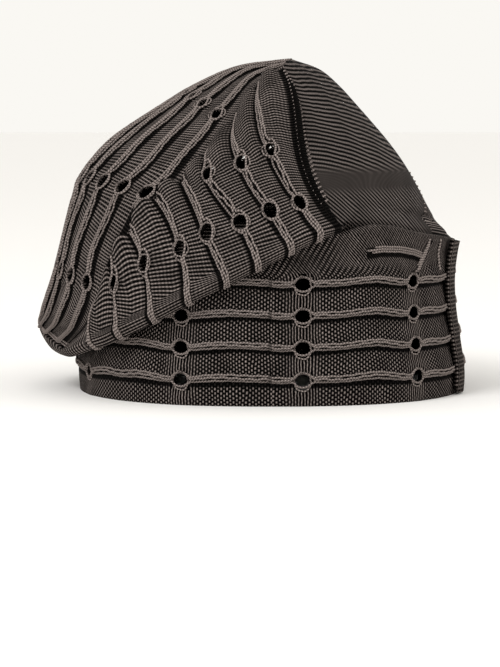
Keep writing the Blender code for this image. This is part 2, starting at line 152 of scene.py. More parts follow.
def cloth_piece(name, points, weave, cord, eyelets, cloth, closed=False, turned=False):
    """A cloth shell on a grid of points, with round eyelets left out of it.

    weave and cord are the two values per point that its two pattern maps hold. eyelets are
    fractional columns and rows of the grid. cloth is its thickness. closed is for a grid whose
    last column meets its first, and turned for one whose faces point inwards.
    """
    columns, rows = points.shape[:2]
    placed = points.copy()
    inside = np.zeros((columns, rows), bool)
    for column, row in eyelets:
        centre = grid_sample(points, np.array(column), np.array(row))
        away = np.linalg.norm(points - centre, axis=2)
        hole = away < EYELET_RADIUS
        beside = np.pad(hole, 1)
        beside = sum(beside[i : i + columns, j : j + rows] for i in range(3) for j in range(3)) > 0
        pitch = np.linalg.norm(points[int(column) + 1, int(row)] - points[int(column), int(row)])
        ring = beside & ~hole & (away < EYELET_RADIUS + 0.9 * pitch)
        placed[ring] = centre + (points[ring] - centre) * (EYELET_RADIUS / away[ring])[:, None]
        inside |= hole
    bpy.ops.object.select_all(action="DESELECT")
    bpy.ops.mesh.primitive_grid_add(x_subdivisions=columns - 1, y_subdivisions=rows - 1, size=1)
    piece = bpy.context.object
    piece.name = name
    mesh = piece.data
    mesh.name = name
    flat = np.empty(len(mesh.vertices) * 3)
    mesh.vertices.foreach_get("co", flat)
    flat = flat.reshape(-1, 3)
    column = np.rint((flat[:, 0] + 0.5) * (columns - 1)).astype(int)
    row = np.rint((flat[:, 1] + 0.5) * (rows - 1)).astype(int)
    mesh.vertices.foreach_set("co", in_metres(placed[column, row]).ravel())
    corner = np.empty(len(mesh.loops), dtype=np.int32)
    mesh.loops.foreach_get("vertex_index", corner)
    mesh.uv_layers[0].name = "weave"
    mesh.uv_layers.new(name="cord")
    mesh.uv_layers["weave"].data.foreach_set("uv", weave[column, row][corner].ravel())
    mesh.uv_layers["cord"].data.foreach_set("uv", cord[column, row][corner].ravel())
    bpy.ops.object.mode_set(mode="EDIT")
    bpy.ops.mesh.select_mode(type="VERT")
    bpy.ops.mesh.select_all(action="DESELECT")
    bpy.ops.object.mode_set(mode="OBJECT")
    mesh.vertices.foreach_set("select", inside[column, row])
    bpy.ops.object.mode_set(mode="EDIT")
    bpy.ops.mesh.delete(type="VERT")
    if closed:
        bpy.ops.mesh.select_all(action="SELECT")
        bpy.ops.mesh.remove_doubles(threshold=0.00001)
    if turned:
        bpy.ops.mesh.select_all(action="SELECT")
        bpy.ops.mesh.flip_normals()
    bpy.ops.object.mode_set(mode="OBJECT")
    shell = piece.modifiers.new("cloth", "SOLIDIFY")
    shell.thickness = cloth * MM
    shell.offset = -1
    bpy.ops.object.modifier_apply(modifier="cloth")
    bpy.ops.object.shade_smooth()
    piece.select_set(False)
    return piece


def thread(paths, radius, name, sides=6):
    """Round threads along paths of points, as one piece with its length in its pattern map."""
    verts, faces, runs = [], [], []
    for path, closed in paths:
        count = len(path)
        ahead = np.roll(path, -1, axis=0) - np.roll(path, 1, axis=0)
        if not closed:
            ahead[0], ahead[-1] = path[1] - path[0], path[-1] - path[-2]
        ahead /= np.maximum(np.linalg.norm(ahead, axis=1, keepdims=True), 1e-9)
        side = np.cross(ahead, [0.31, 0.17, 0.93])
        side /= np.maximum(np.linalg.norm(side, axis=1, keepdims=True), 1e-9)
        lift = np.cross(side, ahead)
        length = np.concatenate([[0], np.cumsum(np.linalg.norm(np.diff(path, axis=0), axis=1))])
        base = len(verts)
        for turn in range(count):
            end = not closed and turn in (0, count - 1)
            size = radius * (0.55 if end else 1.0)
            for k in range(sides):
                angle = 2 * np.pi * k / sides
                reach = side[turn] * np.cos(angle) + lift[turn] * np.sin(angle)
                verts.append(path[turn] + reach * size)
                runs.append((length[turn], k / sides))
        for turn in range(count if closed else count - 1):
            here, there = base + turn * sides, base + (turn + 1) % count * sides
            for k in range(sides):
                nxt = (k + 1) % sides
                faces.append((here + k, here + nxt, there + nxt, there + k))
        if not closed:
            faces.append(tuple(base + k for k in range(sides))[::-1])
            faces.append(tuple(base + (count - 1) * sides + k for k in range(sides)))
    mesh = bpy.data.meshes.new(name)
    mesh.from_pydata(in_metres(np.array(verts)).tolist(), [], faces)
    layer = mesh.uv_layers.new(name="weave")
    corner = np.empty(len(mesh.loops), dtype=np.int32)
    mesh.loops.foreach_get("vertex_index", corner)
    layer.data.foreach_set("uv", np.array(runs)[corner].ravel())
    mesh.shade_smooth()
    piece = bpy.data.objects.new(name, mesh)
    bpy.context.scene.collection.objects.link(piece)
    return piece


def eyelet_plane(points, column, row, columns, rows):
    """An eyelet's centre, and the cloth's normal by points some columns and rows away from it."""
    here = np.array([column, column, column - columns, column + columns, column])
    there = np.array([row - rows, row + rows, row, row, row])
    low, high, left, right, centre = grid_sample(points, here, there)
    normal = np.cross(right - left, high - low)
    return centre, normal / np.linalg.norm(normal)


def eyelet_rims(points, normals, eyelets, name):
    """The thread rings round the eyelets of a cloth, as one piece."""
    rings = []
    radius = EYELET_RADIUS + RIM_GAP
    for column, row in eyelets:
        centre, normal = eyelet_plane(points, column, row, 3, 7)
        if normal @ grid_sample(normals, np.array(column), np.array(row)) < 0:
            normal = -normal
        side = np.cross(normal, [0.2, 0.1, 1.0])
        side /= np.linalg.norm(side)
        up = np.cross(side, normal)
        turn = np.linspace(0, 2 * np.pi, 17)[:-1]
        wobble = 1 + 0.07 * np.cos(turn * 2 + column) + 0.05 * np.cos(turn * 6)
        ring = centre + radius * wobble[:, None] * (
            side * np.cos(turn)[:, None] + up * np.sin(turn)[:, None]
        )
        rings.append((ring + normal * RIM_GAP, True))
    return thread(rings, RIM_THREAD, name)


def flattened(points, eyelets):
    """The points with the cloth round each eyelet laid flat."""
    points = points.copy()
    for column, row in eyelets:
        centre, normal = eyelet_plane(points, column, row, 6, 8)
        share = np.exp(-((np.linalg.norm(points - centre, axis=2) / FLAT_REACH) ** 4))
        points -= (((points - centre) @ normal) * share)[..., None] * normal
    return points


class Value:
    """A socket of a material, so that its patterns are written as sums."""

    def __init__(self, socket):
        self.socket = socket

    def node(self, kind, settings, inputs, output=0):
        """Any node: its settings first, then the numbers or sockets that go in."""
        tree = self.socket.id_data
        made = tree.nodes.new(kind)
        for name, setting in settings.items():
            setattr(made, name, setting)
        for key, value in inputs.items():
            if isinstance(value, Value):
                tree.links.new(value.socket, made.inputs[key])
            else:
                made.inputs[key].default_value = value
        return Value(made.outputs[output])

    def math(self, operation, first, second=0.0):
        return self.node("ShaderNodeMath", {"operation": operation}, {0: first, 1: second})

    def __add__(self, other):
        return self.math("ADD", self, other)

    __radd__ = __add__

    def __sub__(self, other):
        return self.math("SUBTRACT", self, other)

    def __rsub__(self, other):
        return self.math("SUBTRACT", other, self)

    def __mul__(self, other):
        return self.math("MULTIPLY", self, other)

    __rmul__ = __mul__

    def __truediv__(self, other):
        return self.math("DIVIDE", self, other)

    def __mod__(self, other):
        return self.math("FLOORED_MODULO", self, other)

    def size(self):
        return self.math("ABSOLUTE", self)

    def floor(self):
        return self.math("FLOOR", self)

    def wave(self, pitch):
        """A smooth wave from 0 to 1 and back over each pitch."""
        return self.math("SINE", self * (2 * np.pi / pitch)) * 0.5 + 0.5

    def least(self, other):
        return self.math("MINIMUM", self, other)

    def ease(self, start, end):
        """0 at start, 1 at end, smooth between."""
        settings = {"interpolation_type": "SMOOTHSTEP"}
        return self.node("ShaderNodeMapRange", settings, {0: self, 1: start, 2: end, 3: 0.0, 4: 1.0})

    def blend(self, low, high):
        """A colour between two, by this value."""
        settings = {"data_type": "RGBA"}
        return self.node("ShaderNodeMix", settings, {0: self, 6: low, 7: high}, 2)


def finish_start(name, layers=("weave", "cord")):
    """A new material: itself, its shader, and the two values of each of its pattern maps."""
    made = bpy.data.materials.new(name)
    made.use_nodes = True
    shader = made.node_tree.nodes["Principled BSDF"]
    shader.inputs["Specular IOR Level"].default_value = CLOTH_GLOSS
    maps = []
    for layer in layers:
        source = made.node_tree.nodes.new("ShaderNodeUVMap")
        source.uv_map = layer
        split = made.node_tree.nodes.new("ShaderNodeSeparateXYZ")
        made.node_tree.links.new(source.outputs[0], split.inputs[0])
        maps += [Value(split.outputs[0]), Value(split.outputs[1])]
    return made, shader, maps


def finish_end(made, shader, colour, roughness, height, depth):
    """Joins a colour, a roughness and a relief to the shader."""
    tree = made.node_tree
    tree.links.new(colour.socket, shader.inputs["Base Color"])
    tree.links.new(roughness.socket, shader.inputs["Roughness"])
    relief = height.node(
        "ShaderNodeBump", {}, {"Strength": 1.0, "Distance": depth * MM, "Height": height}
    )
    tree.links.new(relief.socket, shader.inputs["Normal"])
    return made


YARN_LIGHT = (0.320, 0.270, 0.250, 1)
# Painted shade: the darker colour in the grooves of a cord's twist.
TWIST_GROOVE_SHADE = (0.040, 0.033, 0.031, 1)
# Painted shade: the near-black colour of the weave's gaps and of the shadow lines beside the cords.
GAP_SHADE = (0.0006, 0.0005, 0.0005, 1)


def clouds(across, scale, detail):
    """Soft noise over the weave map, which lets a weave wander and varies its tone."""
    settings = {"noise_dimensions": "2D"}
    noise = across.node("ShaderNodeTexNoise", settings, {"Scale": scale, "Detail": detail})
    weave_map = across.socket.node.inputs[0].links[0].from_socket
    across.socket.id_data.links.new(weave_map, noise.socket.node.inputs["Vector"])
    return noise


def openwork(name, across_pitch, up_pitch, runged, light=YARN_LIGHT):
    """Openwork weave: beads of light yarn over gaps coloured near black as painted shade, staggered or,
    where runged, in rows, with a painted shadow line beside each cord.
    """
    made, shader, (across, up, beside, near) = finish_start(name)
    cloudy = clouds(across, 0.11, 3.0)
    slack = across + (cloudy - 0.5) * 1.6
    column = (slack / across_pitch).floor()
    bead_across = (slack / across_pitch % 1.0 - 0.5).size()
    stagger = (column % 2.0) * 0.5
    bead_up = ((up + (cloudy - 0.5) * 1.2) / up_pitch + stagger) % 1.0
    bead_up = (bead_up - 0.5).size()
    bead = (1 - bead_across.ease(0.08, 0.37)) * (1 - bead_up.ease(0.10, 0.39))
    rung = 1 - ((up / up_pitch) % 1.0 - 0.5).size().ease(0.07, 0.31)
    beaded = rung * (0.40 + 0.60 * bead_across.ease(0.5, 0.1))
    chain = (1 - bead_across.ease(0.06, 0.25)) * (0.55 + 0.45 * bead_up.ease(0.5, 0.1))
    by_hole = 1 - near.ease(4.0, 9.0)
    web = bead * (1 - runged) + beaded * runged
    web = web * (1 - by_hole) + chain * by_hole
    # Painted shadow: the weave is darkened along a line under each cord, where the cord shades the
    # cloth.
    shadow = 1 - beside.ease(1.8, 2.8)
    web = web * (1 - shadow * 0.96)
    tone = 0.35 + cloudy * 1.1
    colour = (web * tone).least(1.0).blend(GAP_SHADE, light)
    return finish_end(made, shader, colour, 0.95 - web * 0.1, web, 0.6)


def yarn(name, light):
    """Loose light yarn with a slanting twist, its grooves painted dark as shade."""
    made, shader, (along, around) = finish_start(name, ("weave",))
    twist = (along * 0.75 + around).wave(1.0)
    colour = (twist * 0.85 + 0.15).blend(TWIST_GROOVE_SHADE, light)
    return finish_end(made, shader, colour, 0.8 + twist * 0.1, twist, 0.3)


band_rows = [0.0, 0.7, 1.5, 3.0, 4.5, 6.0, 7.5]
for cord_height in CORD_HEIGHTS:
    band_rows += [cord_height + step for step in (-2.2, -1.5, -1.0, -0.6, -0.2, 0.2, 0.6, 1.1, 1.8)]
    band_rows += [cord_height + step for step in (2.8, 3.9, 5.0, 6.1, 7.2, 8.3, 9.4)]
band_rows = [height for height in band_rows if height < EVEN_HEIGHT]
upper_rows = np.linspace(0, 1, 12)[1:]
roll_rows = ((1.1, 0.0), (0.35, -0.7), (0.0, -1.7))
band_places = np.linspace(0, RING_LENGTH, BAND_COLUMNS + 1)
band_up = []
for place in band_places:
    edge = band_top(place)
    top = band_rows[-1]
    column = [(height, 0.0) for height in band_rows]
    column += [(top + (edge - 1.8 - top) * share, 0.0) for share in upper_rows]
    column += [(edge - depth, out) for depth, out in roll_rows]
    band_up.append(column)
band_up = np.array(band_up)
band_heights = band_up[:, :, 0]


def shingle(height):
    """How far the band's face stands out: each strip slopes out to the cord at its foot."""
    out = 0.2
    for cord_height in CORD_HEIGHTS:
        over = height - cord_height
        if over > -1.3:
            rise = min((over + 1.3) / 1.1, 1.0)
            slope = max(1 - max(over + 0.2, 0) / 12.0, 0)
            out = SHINGLE_FOOT + (SHINGLE_PROUD - SHINGLE_FOOT) * rise * slope
    return out


# Three columns of eyelets stand at the front, and the others are spaced evenly round the back.
spare = (RING_LENGTH + FRONT_COLUMNS[0] - FRONT_COLUMNS[-1]) / (OTHER_COLUMNS + 1)
eyelet_places = [place % RING_LENGTH for place in FRONT_COLUMNS]
eyelet_places += [FRONT_COLUMNS[-1] + spare * (i + 1) for i in range(OTHER_COLUMNS)]
waist = np.vectorize(lambda height: follow(BAND_WAIST, height)[0])(band_heights)
out = np.vectorize(shingle)(band_heights) + band_up[:, :, 1]
x, y, nx, ny = [
    np.repeat(column[:, None], band_heights.shape[1], axis=1) for column in on_ring(band_places)
]
# The cloth puckers at each column of eyelets, and the cords bow up between two columns.
gather = np.min(
    [
        np.abs((band_places - place + RING_LENGTH / 2) % RING_LENGTH - RING_LENGTH / 2)
        for place in eyelet_places
    ],
    axis=0,
)
pucker = PUCKER * np.exp(-((gather / PUCKER_WIDTH) ** 2))[:, None]
pucker = pucker * np.sin(band_heights / CORD_SPACING * 2 * np.pi + 1.0)
out = out - waist * nx * nx + pucker
bow = CORD_BOW * np.minimum(gather / BOW_WIDTH, 1)[:, None] ** 1.5
bow = bow * np.clip((band_heights - 4) / 8, 0, 1) * np.clip((56 - band_heights) / 6, 0, 1)
bow = bow * np.where((band_places > FRONT_COLUMNS[-1]) & (band_places < 140), 0.15, 1.0)[:, None]
band_grid = np.stack([x + nx * out, y + ny * out, band_heights + bow], axis=2)


def band_row(columns, heights):
    """Fractional rows of the band's grid at heights in its columns."""
    steps = np.arange(band_heights.shape[1])
    return np.array([np.interp(h, band_heights[int(c)], steps) for h, c in zip(heights, columns)])


band_eyelets = []
for place in eyelet_places:
    for height in EYELET_HEIGHTS:
        column = place / RING_LENGTH * BAND_COLUMNS
        band_eyelets.append((column, float(band_row([column], [height])[0])))
band_grid = flattened(band_grid, band_eyelets)
band_normals = grid_normals(band_grid)
# How far the cloth is from the painted shadow line under the nearest cord, the loose ones included.
below = np.full(band_heights.shape, BESIDE_NONE)
for height in CORD_HEIGHTS:
    below = np.minimum(below, np.abs(band_heights - height + SHADOW_PLACE))
LOOSE_CORDS = (
    ((40.0, 62.6), (48.0, 63.4), (58.0, 63.0), (68.0, 61.6), (75.0, 59.6)),
    ((68.5, 53.0), (72.0, 56.5), (76.5, 61.0), (80.0, 66.0)),
    ((93.0, 52.5), (91.0, 56.0), (90.0, 60.0), (91.5, 65.5)),
)
place_grid = band_places[:, None] * np.ones(band_heights.shape)
for route in LOOSE_CORDS:
    places, rises = np.array(route).T
    if np.ptp(places) > np.ptp(rises):
        gap = band_heights - np.interp(band_places, places, rises)[:, None]
        gap = np.where((place_grid > places.min()) & (place_grid < places.max()), gap, FAR)
    else:
        order = np.argsort(rises)
        gap = np.interp(band_heights, rises[order], places[order]) - place_grid
        gap = np.where((band_heights > rises.min()) & (band_heights < rises.max()), gap, FAR)
    below = np.minimum(below, np.abs(gap + SHADOW_PLACE))
# How far it is from the nearest eyelet, where the weave turns to chains, as it does by the top.
near = np.full(band_heights.shape, FAR)
for column, row in band_eyelets:
    centre = grid_sample(band_grid, np.array(column), np.array(row))
    flatter = (band_grid - centre) * np.array([1.0, 1.0, 0.55])
    near = np.minimum(near, np.linalg.norm(flatter, axis=2))
slanted = band_places[:, None] + 0.9 * np.maximum(band_heights - EVEN_HEIGHT, 0)
by_top = np.clip((band_heights - EVEN_HEIGHT) / 4, 0, 1)
by_top = by_top * np.clip((band_places - 15) / 15, 0, 1)[:, None]
near = near - (near - 4.0) * by_top * (band_places < 120)[:, None]
band_weave = np.stack([slanted, band_heights], axis=2)
band_cloth = openwork("band openwork", 1.27, 1.7, 0.0)
strand_yarn = yarn("cord yarn", (0.360, 0.305, 0.283, 1))
band = cloth_piece(
    "band_cloth", band_grid, band_weave, cord_map(below, near), band_eyelets, BAND_CLOTH, closed=True
)
band.data.materials.append(band_cloth)
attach(band, "root")
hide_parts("band")
RING_LENGTH * MM


STRAND_PLACES = (-0.98, 0.0, 0.98)


def cord_offsets(along, holes, strand):
    """Sideways place of one of a cord's three strands, which part round each eyelet."""
    side = STRAND_PLACES[strand]
    for hole in holes:
        away = np.abs(along - hole)
        part = np.sqrt(np.maximum((EYELET_RADIUS + 0.45) ** 2 - away**2, 0))
        side = np.where(part > np.abs(side), part if strand > 0 else -part, side)
        side = side * np.where(away < 9.0, 0.75 + 0.25 * np.clip((away - 4.0) / 5.0, 0, 1), 1.0)
    wander = 0.13 * np.sin(along * 1.15 + strand * 2.3) + 0.35 * np.sin(along * 0.21 + along[-1])
    nearest = np.min([np.abs(along - hole) for hole in holes] + [along * 0 + 9], axis=0)
    return side + wander * np.clip((nearest - 3) / 4, 0, 1)


def band_thread(columns, heights, lift):
    """A path on the band's cloth, lifted off it."""
    rows = band_row(columns, heights)
    return grid_sample(band_grid, columns, rows) + grid_sample(band_normals, columns, rows) * lift


def dress_threads(pieces):
    """Finishes thread pieces as cord yarn that stays with the cap."""
    for piece in pieces:
        piece.data.materials.append(strand_yarn)
        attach(piece, "root")


paths = []
along = np.linspace(0, RING_LENGTH, 421)[:-1]
holes = [p for base in eyelet_places for p in (base, base - RING_LENGTH, base + RING_LENGTH)]
for cord_height in CORD_HEIGHTS:
    for strand in range(3):
        heights = cord_height + cord_offsets(along, holes, strand)
        columns = along / RING_LENGTH * BAND_COLUMNS
        paths.append((band_thread(columns, heights, STRAND_LIFT), True))
for route in LOOSE_CORDS:
    places, rises = np.array(route).T
    for strand in range(3):
        steps = np.linspace((0.3, 0.0, 0.5)[strand], len(route) - 1, 40)
        columns = np.interp(steps, range(len(route)), places) / RING_LENGTH * BAND_COLUMNS
        heights = np.interp(steps, range(len(route)), rises) + STRAND_PLACES[strand]
        shares = (steps - steps[0]) / (steps[-1] - steps[0])
        by_end = np.clip(np.abs(shares - 0.5) * 12 - 5, 0, 1)[:, None] ** 2
        paths.append((band_thread(columns, heights, STRAND_LIFT - 1.6 * by_end), False))
rims = eyelet_rims(band_grid, band_normals, band_eyelets, "band_eyelet_rims")
dress_threads([thread(paths, STRAND_THREAD, "band_cords"), rims])

# Side seam: the narrow folded strip of the same cloth that is stitched up the band's right
# side, over the join of the wall, with a line of small dark stitches along its front edge.
STRIP_FROM, STRIP_WIDTH, STRIP_OUT, SEAM_CLOTH = 100.0, 15.0, 1.7, 1.4
strip_across = np.linspace(0, 1, 19)
strip_up = np.linspace(0, 1, 61)
strip_grid = np.zeros((len(strip_across), len(strip_up), 3))
strip_weave = np.zeros((len(strip_across), len(strip_up), 2))
for i, share in enumerate(strip_across):
    place = STRIP_FROM + STRIP_WIDTH * share
    foot = 0.6 + 4.0 * (2 * share - 1) ** 4
    head = band_top(place) - 1.6
    for j, rise in enumerate(strip_up):
        round_off = -1.1 * (2 * share - 1) ** 6
        stitched = -0.15 * np.cos(rise * 2 * np.pi * 26) * np.exp(-(((share - 0.16) / 0.08) ** 2))
        height = foot + (head - foot) * rise
        strip_grid[i, j] = band_point(place, STRIP_OUT + SEAM_CLOTH + round_off + stitched, height)
        strip_weave[i, j] = (STRIP_WIDTH * share, height)
strip_cord = cord_map(np.full(strip_grid.shape[:2], BESIDE_NONE))
side_seam = cloth_piece("side_seam_strip", strip_grid, strip_weave, strip_cord, [], SEAM_CLOTH)
side_seam.data.materials.append(openwork("seam openwork", 1.27, 1.7, 0.5, (0.250, 0.209, 0.192, 1)))
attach(side_seam, "root")
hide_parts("side_seam")

# Crown flap: the front of the crown, of the same openwork strips, each ending in a cord. It
# comes out of the band, laps over its edge, hangs to a soft fold and goes back up to the seams.
CROWN_CLOTH = 1.8
TUCK_DEPTH, TUCK_INSET, LAP_OUT, BULGE_LEAN = 12.0, 4.6, 1.7, 0.57
CORD_PROUD, CORD_RECESS, CORD_PITCH, CORD_STEP = 1.4, -1.3, 14.0, 0.12
FINGER_REACH, FINGER_OUT = 4.2, 1.9
SEAM_GAP = 1.3
LAST_CORD = 8
APEX = 10.0
TOP_STATIONS = (
    (0.0, -86.5, -40.0, 19.0, -100.7, 25.7, 2.4), (1.0, -77.0, -68.0, 30.0, -98.6, 34.0, 3.0),
    (2.0, -70.0, -81.0, 43.0, -93.2, 49.5, 3.6), (3.0, -65.1, -88.0, 57.5, -88.6, 67.0, 4.0),
    (4.0, -54.7, -93.0, 75.8, -84.4, 83.0, 4.0), (5.0, -46.1, -93.0, 85.2, -80.6, 92.8, 4.0),
    (6.0, -36.2, -91.0, 91.4, -69.0, 106.5, 3.9), (7.0, -26.0, -84.0, 101.8, -50.4, 119.2, 3.6),
    (8.0, -14.2, -72.0, 116.5, -32.5, 130.1, 3.0), (9.0, -5.1, -58.0, 130.2, -13.5, 138.0, 2.5),
    (10.0, 4.9, -44.0, 138.2, 10.0, 141.2, 2.1),
)
LAPPED_WALL = (
    (0.0, 27.0, 3.4, 70.4, 3.0, 9.98, 0.7, 5.0, -8.2, 0.8),
    (1.0, 18.0, 5.0, 67.4, 3.8, 9.0, 0.7, 6.0, -4.7, -5.6),
    (2.0, 7.4, 5.9, 62.2, 4.1, 8.0, 0.7, 6.0, -2.6, -6.2),
    (3.0, -5.7, 5.9, 55.4, 4.1, 7.1, 0.7, 6.0, 1.8, -7.0),
    (4.0, -17.4, 5.9, 49.0, 4.1, 6.05, 0.7, 6.0, 0.0, 0.0),
    (5.0, -31.4, 5.9, 41.8, 4.1, 4.95, 0.7, 4.5, 2.5, 2.5),
    (6.0, -46.0, 5.9, 34.0, 4.1, 3.75, 0.7, 3.5, 2.3, 2.3),
    (7.0, -62.5, 5.9, 26.6, 4.1, 3.0, 0.8, 2.5, 1.6, 1.6),
    (8.0, -79.0, 6.2, 21.4, 3.8, 2.1, 1.3, 1.5, 0.0, 0.0),
    (9.0, -119.0, 6.6, 14.9, 2.8, 0.0, 2.0, 0.5, 0.0, 0.0),
    (9.5, -136.0, 11.2, 16.4, 2.8, -0.5, 1.4, 0.4, 0.0, 0.0),
    (10.0, -153.0, 13.8, 19.6, 2.8, -1.0, 1.0, 0.3, 0.0, 0.0),
)
WALL_EYELETS = (
    (1, 0.17), (1, 0.50), (2, 0.22), (2, 0.58), (3, 0.29), (3, 0.74), (4, 0.38), (5, 0.41),
    (6, 0.53), (7, 0.65),
)
LEVEL_TURN = ((-1.4, 2.8), (0.2, 3.0), (1.2, 3.0), (2.2, 3.1), (3.2, 3.5), (4.6, 5.0))
FACE_SHARES = (0.07, 0.14, 0.24, 0.35, 0.46, 0.57, 0.68, 0.79, 0.9, 1.0)
ROW_STEPS = (6, 3, 6, 5, 6, 6, 6, 5, 5, 7, 8, 8, 8, 8, 8, 8, 8)


def top_arch(station):
    """The crown top across one station: points from the front crease to the back, lengths run."""
    cx, cy, cz, mx, mz, square = follow(TOP_STATIONS, station)
    side = np.linspace(1, -1, 161)
    rise = 1 - np.abs(side) ** square
    points = np.stack([cx + (mx - cx) * rise, cy * side, cz + (mz - cz) * rise], axis=1)
    steps = np.linalg.norm(np.diff(points, axis=0), axis=1)
    return points, np.concatenate([[0], np.cumsum(steps)])


def top_arch_share(station, share):
    """A point of the crown top at a share of the way across a station."""
    points, runs = top_arch(station)
    return np.array([np.interp(share * runs[-1], runs, points[:, axis]) for axis in range(3)])


def top_edge(place):
    """The crown top's outline: its end below 0, the front crease, then the ridge from APEX."""
    if place < 0:
        return top_arch_share(0.0, -place / 2)
    if place > APEX:
        return top_arch_share(APEX, (place - APEX) / 2)
    return top_arch(place)[0][0]


def strip_relief(number):
    """Relief of the strips: proud at each cord, recessed just past it, none at the end."""
    if number > LAST_CORD + CORD_STEP:
        return CORD_RECESS * max(LAST_CORD + 1 - number, 0)
    part = number - np.floor(number)
    if part < 1e-6:
        return CORD_PROUD
    return CORD_RECESS + (CORD_PROUD - CORD_RECESS) * max(part - CORD_STEP, 0) / (1 - CORD_STEP)


def face_point(start, end, share, bulge, skew, square, sways, normal):
    """A point of the crown's face, between where it leaves the band or the fold and its seam."""
    swell = bulge * (1 - abs(2 * share**skew - 1) ** square)
    away = np.array([normal[0], normal[1], BULGE_LEAN]) / np.hypot(1, BULGE_LEAN)
    point = start + (end - start) * share + away * swell
    low, high = sways
    point[0] += 6.75 * share * (1 - share) * (low * (1 - share) + high * share)
    return point


def shy_of(end, start, gap):
    """The end of a line, drawn back by a gap."""
    return end - (end - start) * gap / np.linalg.norm(end - start)


def lapped_line(number):
    """Points up the crown wall where it laps over the band, from inside the band to the seam."""
    place, out, fold, radius, edge, gap, bulge, *sways = follow(LAPPED_WALL, number)
    top = band_top(place)
    x, y, nx, ny = on_ring(place)
    line = [band_point(place, -TUCK_INSET, top - TUCK_DEPTH), band_point(place, -TUCK_INSET, top + 0.8)]
    drop = min((top + 3.5 - fold) / 8.5, 1)
    foot = min(fold, top - 5.0)
    folded = (
        (-1.4, top + 2.8),
        (LAP_OUT, top - 0.5),
        (LAP_OUT + 0.3 + 0.1 * (out - 5.9), (top + foot + radius) / 2),
        (out - radius, foot + radius),
        (out, foot),
        (out + radius, foot + radius),
    )
    for turn, (level_out, level_up) in enumerate(LEVEL_TURN):
        reach = level_out + (folded[turn][0] - level_out) * drop
        height = top + level_up + (folded[turn][1] - top - level_up) * drop
        if turn < 2:
            line.append(band_point(place, reach, height))
        else:
            line.append(np.array([x + nx * reach, y + ny * reach, height]))
    end = shy_of(top_edge(edge), line[-1], gap)
    # Between two cords the strip ends over the crease in a rounded finger.
    if number < LAST_CORD:
        across = ((number - CORD_STEP) % 1.0) / (1 - CORD_STEP)
        finger = max(1 - abs(2 * across**1.3 - 1) ** 3, 0) * min(number / 0.6, 1) * (across <= 1)
        end = end + (end - line[-1]) / np.linalg.norm(end - line[-1]) * FINGER_REACH * finger
        end = end + np.array([nx, ny, BULGE_LEAN]) * FINGER_OUT * finger
    swell = bulge + strip_relief(number)
    for share in FACE_SHARES:
        line.append(face_point(line[7], end, share, swell, 1.0, 2.0, sways, (nx, ny)))
    return np.array(line)


def smooth_line(points):
    """Close points on a smooth curve through a wall's line, by the steps between its points."""
    gaps = np.linalg.norm(np.diff(points, axis=0), axis=1)
    run = np.concatenate([[0], np.cumsum(np.maximum(gaps, 0.01))])
    slopes = np.gradient(points, run, axis=0)
    parts = []
    for i, steps in enumerate(ROW_STEPS[: len(points) - 1]):
        t = (np.arange(steps) / steps)[:, None]
        span = run[i + 1] - run[i]
        part = points[i] * (1 + 2 * t) * (1 - t) ** 2 + points[i + 1] * t * t * (3 - 2 * t)
        parts.append(part + span * (t * (1 - t) ** 2 * slopes[i] + t * t * (t - 1) * slopes[i + 1]))
    parts.append(points[-1:])
    return np.concatenate(parts)


def cord_steps(first, last):
    """Numbers across the strips, close beside each cord."""
    steps = (0.0, 0.04, 0.08, 0.12, 0.18, 0.26, 0.34, 0.42, 0.5, 0.58, 0.66, 0.74, 0.82, 0.89, 0.95)
    return [cord + step for cord in range(first, last) for step in steps]


def strip_maps(points, numbers, first, last, from_row=0):
    """The pattern maps of a wall: place across and up the strips, and beside the nearest cord."""
    numbers = np.array(numbers)
    run = np.linalg.norm(np.diff(points, axis=1), axis=2)
    run = np.concatenate([np.zeros((len(numbers), 1)), np.cumsum(run, axis=1)], axis=1)
    ahead = np.gradient(points, axis=1)
    ahead /= np.maximum(np.linalg.norm(ahead, axis=2, keepdims=True), 1e-9)
    home, low, high = [
        np.array([np.argmin(np.abs(numbers - aim)) for aim in aims])
        for aims in (np.ceil(numbers - 1e-6), numbers - 0.5, numbers + 0.5)
    ]
    slant = np.clip(((points - points[home]) * ahead[home]).sum(axis=2), -5, 5)
    up = run[home] + slant * np.clip((np.arange(points.shape[1]) - from_row) / 5, 0, 1)
    wide = np.linalg.norm(points[high] - points[low], axis=2)
    wide = wide / np.abs(numbers[high] - numbers[low])[:, None]
    cord = np.clip(np.round(numbers), first, last)
    beside = (numbers - cord)[:, None] * np.maximum(wide, 4.0)
    across = np.repeat(numbers[:, None], points.shape[1], axis=1) * CORD_PITCH
    return np.stack([across, up], axis=2), beside, wide


def cord_path(points, normals, wide, numbers, cord, rows, holes, strand):
    """The path of one strand of a cord up a wall."""
    base = float(np.interp(cord, numbers, np.arange(len(numbers))))
    centre = grid_sample(points, np.full(len(rows), base), rows)
    along = np.concatenate([[0], np.cumsum(np.linalg.norm(np.diff(centre, axis=0), axis=1))])
    spots = [float(np.interp(row, rows, along)) for row in holes]
    offset = cord_offsets(along, spots, strand)
    width = grid_sample(wide[..., None], np.full(len(rows), base), rows)[:, 0]
    column = np.interp(cord + offset / np.maximum(width, 5.0), numbers, np.arange(len(numbers)))
    return grid_sample(points, column, rows) + grid_sample(normals, column, rows) * 0.45


FACE_FIRST_ROW = sum(ROW_STEPS[:7])
flap_numbers = cord_steps(0, LAST_CORD) + [8.0, 8.04, 8.08, 8.12]
flap_numbers += list(np.linspace(8.17, 9.975, 60))
flap_grid = np.array([smooth_line(lapped_line(number)) for number in flap_numbers])


def face_row(share):
    """The fractional row of a share of the face."""
    shares = (0.0,) + FACE_SHARES
    rows = np.cumsum((FACE_FIRST_ROW,) + ROW_STEPS[7:])
    return float(np.interp(share, shares, rows))


